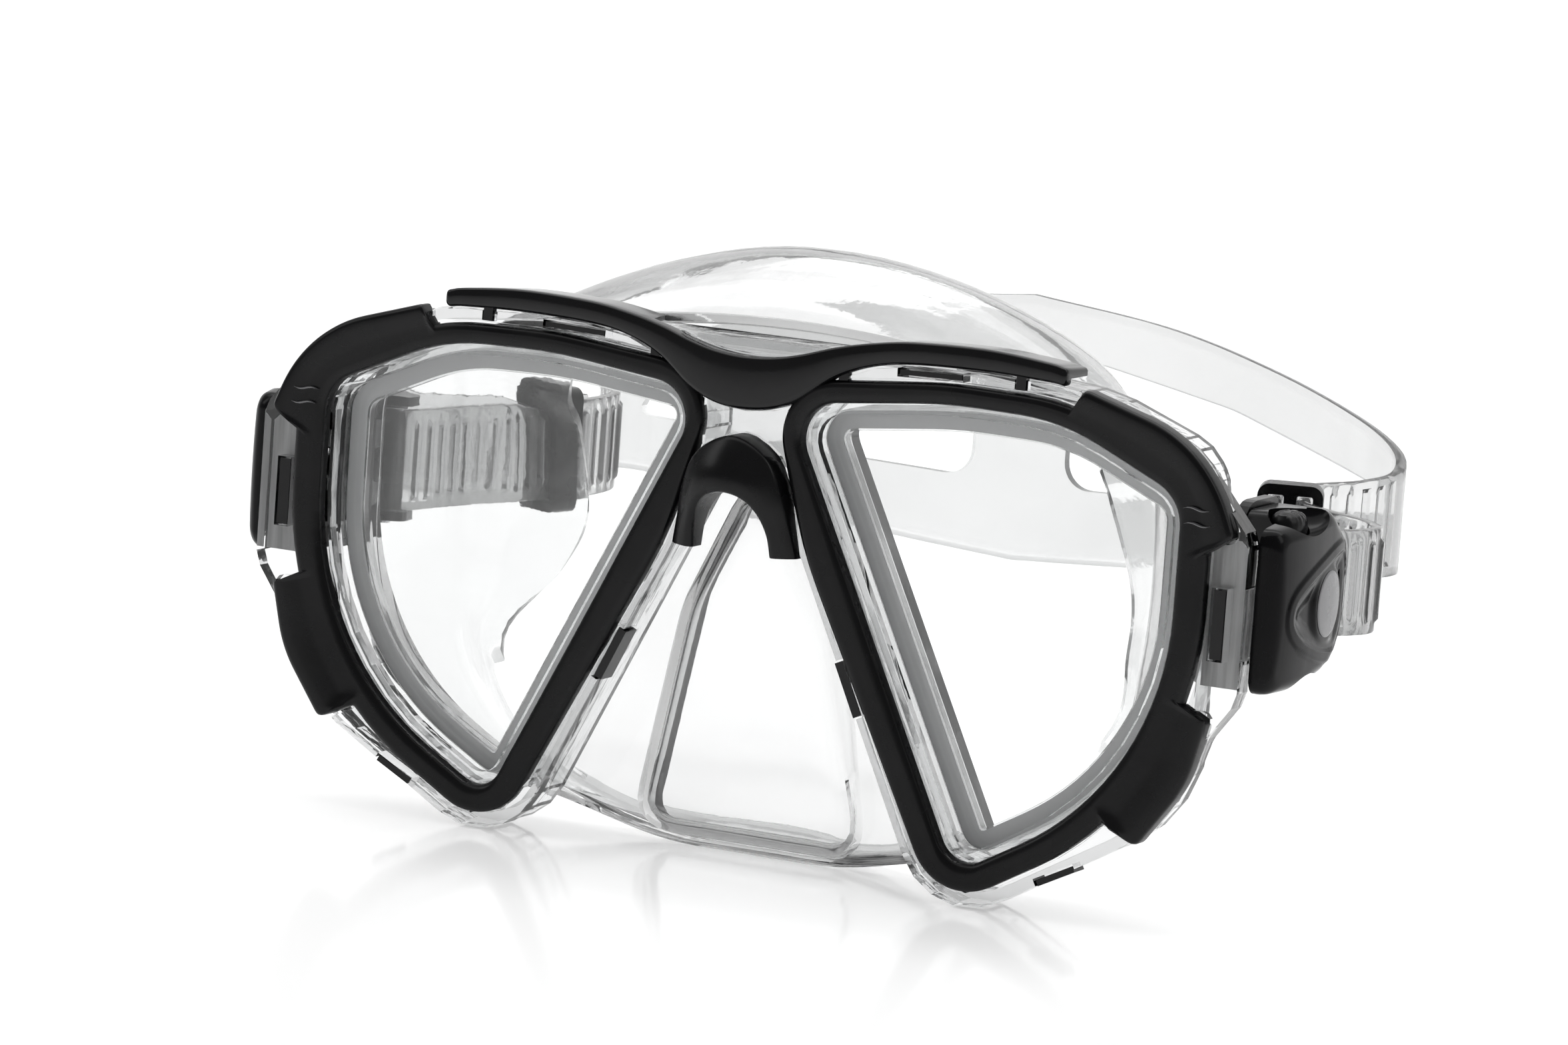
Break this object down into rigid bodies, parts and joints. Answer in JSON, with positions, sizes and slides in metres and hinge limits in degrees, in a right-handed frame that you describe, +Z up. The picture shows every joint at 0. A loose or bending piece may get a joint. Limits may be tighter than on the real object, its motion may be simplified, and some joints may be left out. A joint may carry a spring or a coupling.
{
  "type": "diving mask",
  "caption": "Twin-lens diving mask with a clear frame, black bezels, a translucent silicone skirt with a nose pocket, squeeze buckles and a ribbed split head strap.",
  "frame": {"origin": "The centre of the bottom of the whole object's bounding box, on the surface that the nose pocket stands on.", "axes": "+X is across the face towards the wearer's left, +Y runs from the lenses back to the wearer's head, +Z is up towards the forehead."},
  "size_m": [0.1816, 0.1138, 0.0946],
  "materials": {
    "clear_polycarbonate": "clear, polished",
    "tempered_glass": "clear, polished",
    "clear_silicone": "translucent, satin",
    "black_satin": "satin, fine grain",
    "black_gloss": "gloss",
    "badge_grey": "gloss, blank",
    "stainless_steel": "drawn wire and ground pin"
  },
  "bodies": {
    "mask": {"frame": "clear_polycarbonate", "lens_ring_left": "black_satin", "top_snap_tab_left": "black_gloss", "side_snap_tab_left": "black_gloss", "nasal_snap_tab_left": "black_gloss", "bottom_snap_tab_left": "black_gloss", "lens_left": "tempered_glass", "pivot_pin_left": "black_satin", "lens_ring_right": "black_satin", "top_snap_tab_right": "black_gloss", "side_snap_tab_right": "black_gloss", "nasal_snap_tab_right": "black_gloss", "bottom_snap_tab_right": "black_gloss", "lens_right": "tempered_glass", "pivot_pin_right": "black_satin", "brow_bar": "black_gloss", "nose_bridge_clip": "black_satin", "skirt": "clear_silicone"},
    "strap_assembly": {"strap": "clear_silicone", "buckle_base_left": "black_satin", "buckle_cover_left": "black_satin", "badge_plate_left": "badge_grey", "button_spring_left": "stainless_steel", "roller_axle_left": "stainless_steel", "pawl_pin_left": "stainless_steel", "buckle_base_right": "black_satin", "buckle_cover_right": "black_satin", "badge_plate_right": "badge_grey", "button_spring_right": "stainless_steel", "roller_axle_right": "stainless_steel", "pawl_pin_right": "stainless_steel"},
    "button_top_left_body": {"button_top_left": "black_gloss"},
    "button_bottom_left_body": {"button_bottom_left": "black_gloss"},
    "strap_pawl_left_body": {"strap_pawl_left": "black_satin"},
    "strap_roller_left_body": {"strap_roller_left": "black_satin"},
    "strap_keeper_left_body": {"strap_keeper_left": "black_satin"},
    "button_top_right_body": {"button_top_right": "black_gloss"},
    "button_bottom_right_body": {"button_bottom_right": "black_gloss"},
    "strap_pawl_right_body": {"strap_pawl_right": "black_satin"},
    "strap_roller_right_body": {"strap_roller_right": "black_satin"},
    "strap_keeper_right_body": {"strap_keeper_right": "black_satin"}
  },
  "joints": [
    {"name": "strap_swing", "type": "hinge", "parent": "mask", "child": "strap_assembly", "pos_m": [0, -0.03222, 0.0525], "axis": [1, 0, 0], "range_deg": [-25, 25]},
    {"name": "button_top_left_press", "type": "slide", "parent": "strap_assembly", "child": "button_top_left_body", "axis": [0, 0, -1], "range_m": [0, 0.0009], "stiffness_N_per_m": 600, "springref_m": -0.0006, "deforming": ["button_spring_left"]},
    {"name": "button_bottom_left_press", "type": "slide", "parent": "strap_assembly", "child": "button_bottom_left_body", "axis": [0, 0, 1], "range_m": [0, 0.0009], "stiffness_N_per_m": 600, "springref_m": -0.0006},
    {"name": "strap_pawl_left_release", "type": "hinge", "parent": "strap_assembly", "child": "strap_pawl_left_body", "pos_m": [0.084, -0.03122, 0.0525], "axis": [0, 0, -1], "range_deg": [0, 8]},
    {"name": "strap_roller_left_spin", "type": "hinge", "parent": "strap_assembly", "child": "strap_roller_left_body", "pos_m": [0.076, -0.02123, 0.0525], "axis": [0, 0, 1], "continuous": true},
    {"name": "strap_keeper_left_slide", "type": "slide", "parent": "strap_assembly", "child": "strap_keeper_left_body", "axis": [-0.342, 0.9397, 0], "range_m": [-0.0025, 0.0025]},
    {"name": "button_top_right_press", "type": "slide", "parent": "strap_assembly", "child": "button_top_right_body", "axis": [0, 0, -1], "range_m": [0, 0.0009], "stiffness_N_per_m": 600, "springref_m": -0.0006, "deforming": ["button_spring_right"]},
    {"name": "button_bottom_right_press", "type": "slide", "parent": "strap_assembly", "child": "button_bottom_right_body", "axis": [0, 0, 1], "range_m": [0, 0.0009], "stiffness_N_per_m": 600, "springref_m": -0.0006},
    {"name": "strap_pawl_right_release", "type": "hinge", "parent": "strap_assembly", "child": "strap_pawl_right_body", "pos_m": [-0.084, -0.03122, 0.0525], "axis": [0, 0, 1], "range_deg": [0, 8]},
    {"name": "strap_roller_right_spin", "type": "hinge", "parent": "strap_assembly", "child": "strap_roller_right_body", "pos_m": [-0.076, -0.02123, 0.0525], "axis": [0, 0, 1], "continuous": true},
    {"name": "strap_keeper_right_slide", "type": "slide", "parent": "strap_assembly", "child": "strap_keeper_right_body", "axis": [0.342, 0.9397, 0], "range_m": [-0.0025, 0.0025]}
  ],
  "couplings": [
    {"joint": "button_bottom_left_press", "follows": "button_top_left_press", "ratio": 1},
    {"joint": "strap_pawl_left_release", "follows": "button_top_left_press", "rad_per_m": 150},
    {"joint": "button_bottom_right_press", "follows": "button_top_right_press", "ratio": 1},
    {"joint": "strap_pawl_right_release", "follows": "button_top_right_press", "rad_per_m": 150}
  ]
}
